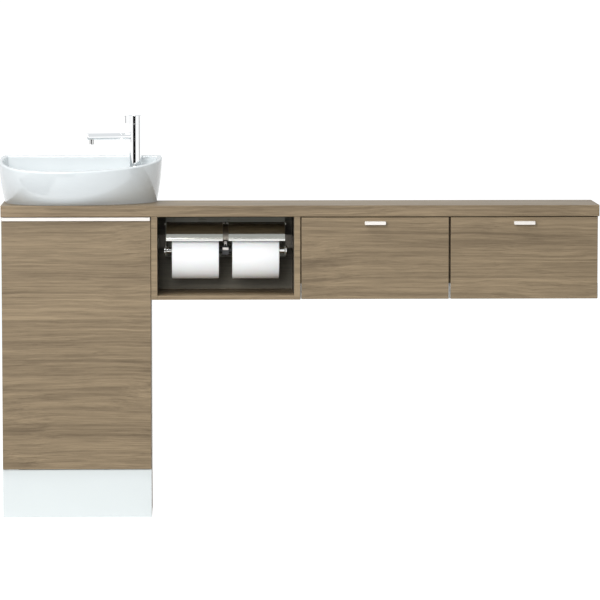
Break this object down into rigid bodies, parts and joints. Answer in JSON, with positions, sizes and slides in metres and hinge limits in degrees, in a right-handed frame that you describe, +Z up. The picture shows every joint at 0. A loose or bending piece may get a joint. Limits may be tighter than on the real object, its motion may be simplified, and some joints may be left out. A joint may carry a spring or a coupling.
{
  "type": "cloakroom vanity unit",
  "caption": "Shallow wall-side vanity with a wood-look counter, vessel basin and tap on a floor cabinet, a paper roll niche and drop-front wall cabinets.",
  "frame": {"origin": "back lower left corner of the floor-standing cabinet, where it meets the wall and the floor", "axes": "+X along the wall to the right seen from the front, +Y into the wall, +Z up; the front faces -Y"},
  "size_m": [1.4507, 0.2326, 0.967],
  "materials": {
    "wood_laminate": "satin grey-brown wood-grain laminate",
    "dark_laminate": "matt dark brown laminate",
    "white_gloss": "gloss white laminate",
    "satin_aluminium": "satin anodised",
    "polished_steel": "polished stainless",
    "chrome": "mirror",
    "white_glaze": "gloss white glaze",
    "black_plastic": "matt",
    "white_resin": "satin",
    "zinc_steel": "zinc plated",
    "brass": "machined",
    "paper": "soft white tissue",
    "cardboard": "bare"
  },
  "bodies": {
    "unit": {"base_back_rails": "white_gloss", "base_bottom": "white_gloss", "base_front_rail": "white_gloss", "base_left_side": "wood_laminate", "base_right_side": "wood_laminate", "basin": "white_glaze", "cabinet_a_back": "white_gloss", "cabinet_a_floor": "wood_laminate", "cabinet_a_left_side": "wood_laminate", "cabinet_a_right_side": "wood_laminate", "cabinet_b_back": "white_gloss", "cabinet_b_floor": "wood_laminate", "cabinet_b_left_side": "wood_laminate", "cabinet_b_right_side": "wood_laminate", "cabinet_top_rails": "white_gloss", "catch_magnets": "black_plastic", "counter": "wood_laminate", "drain_flange": "chrome", "escutcheons": "chrome", "holder_brackets": "polished_steel", "holder_centre_arm": "polished_steel", "holder_frame": "polished_steel", "holder_hinge_rod": "polished_steel", "holder_spindle_block": "black_plastic", "lock_nuts": "brass", "niche_back": "dark_laminate", "niche_floor": "wood_laminate", "niche_left_side": "wood_laminate", "niche_right_side": "wood_laminate", "pipe_nuts": "chrome", "pivot_brackets": "zinc_steel", "plinth": "white_gloss", "stop_valve": "chrome", "supply_nuts": "brass", "supply_pipe": "polished_steel", "tailpiece": "chrome", "tap_aerator": "chrome", "tap_body": "chrome", "tap_spout": "chrome", "trap_bend": "chrome", "waste_arm": "chrome"},
    "door": {"base_door": "wood_laminate", "base_door_pull": "satin_aluminium", "base_door_strike": "zinc_steel"},
    "flap_a": {"cabinet_a_flap": "wood_laminate", "cabinet_a_tab": "satin_aluminium", "cabinet_a_strike": "zinc_steel"},
    "flap_b": {"cabinet_b_flap": "wood_laminate", "cabinet_b_tab": "satin_aluminium", "cabinet_b_strike": "zinc_steel"},
    "tap_lever": {"tap_handle": "chrome"},
    "valve_knob": {"stop_valve_knob": "chrome"},
    "cover_left": {"holder_cover_left": "polished_steel"},
    "cover_right": {"holder_cover_right": "polished_steel"},
    "tip_left": {"spindle_tip_left": "white_resin"},
    "tip_right": {"spindle_tip_right": "white_resin"},
    "roll_left": {"paper_left": "paper", "paper_core_left": "cardboard"},
    "roll_right": {"paper_right": "paper", "paper_core_right": "cardboard"}
  },
  "joints": [
    {"name": "door_hinge", "type": "hinge", "parent": "unit", "child": "door", "pos_m": [0.0055, -0.185, 0.42], "axis": [0, 0, -1], "range_deg": [0, 100]},
    {"name": "flap_a_hinge", "type": "hinge", "parent": "unit", "child": "flap_a", "pos_m": [0.8985, -0.185, 0.534], "axis": [1, 0, 0], "range_deg": [0, 90]},
    {"name": "flap_b_hinge", "type": "hinge", "parent": "unit", "child": "flap_b", "pos_m": [1.258, -0.185, 0.534], "axis": [1, 0, 0], "range_deg": [0, 90]},
    {"name": "tap_lever_turn", "type": "hinge", "parent": "unit", "child": "tap_lever", "pos_m": [0.32, -0.062, 0.95675], "axis": [0, 0, 1], "range_deg": [0, 90]},
    {"name": "valve_knob_turn", "type": "hinge", "parent": "unit", "child": "valve_knob", "pos_m": [0.29, -0.0705, 0.48], "axis": [0, 1, 0], "range_deg": [0, 360]},
    {"name": "cover_left_hinge", "type": "hinge", "parent": "unit", "child": "cover_left", "pos_m": [0.466, -0.07997, 0.70267], "axis": [-1, 0, 0], "range_deg": [0, 20]},
    {"name": "tip_left_slide", "type": "slide", "parent": "unit", "child": "tip_left", "axis": [-1, 0, 0], "range_m": [0, 0.015], "stiffness_N_per_m": 300, "springref_m": -0.004},
    {"name": "roll_left_spin", "type": "hinge", "parent": "unit", "child": "roll_left", "pos_m": [0.466, -0.106, 0.6303], "axis": [1, 0, 0], "continuous": true},
    {"name": "cover_right_hinge", "type": "hinge", "parent": "unit", "child": "cover_right", "pos_m": [0.612, -0.07997, 0.70267], "axis": [-1, 0, 0], "range_deg": [0, 20]},
    {"name": "tip_right_slide", "type": "slide", "parent": "unit", "child": "tip_right", "axis": [1, 0, 0], "range_m": [0, 0.015], "stiffness_N_per_m": 300, "springref_m": -0.004},
    {"name": "roll_right_spin", "type": "hinge", "parent": "unit", "child": "roll_right", "pos_m": [0.612, -0.106, 0.6303], "axis": [1, 0, 0], "continuous": true}
  ]
}
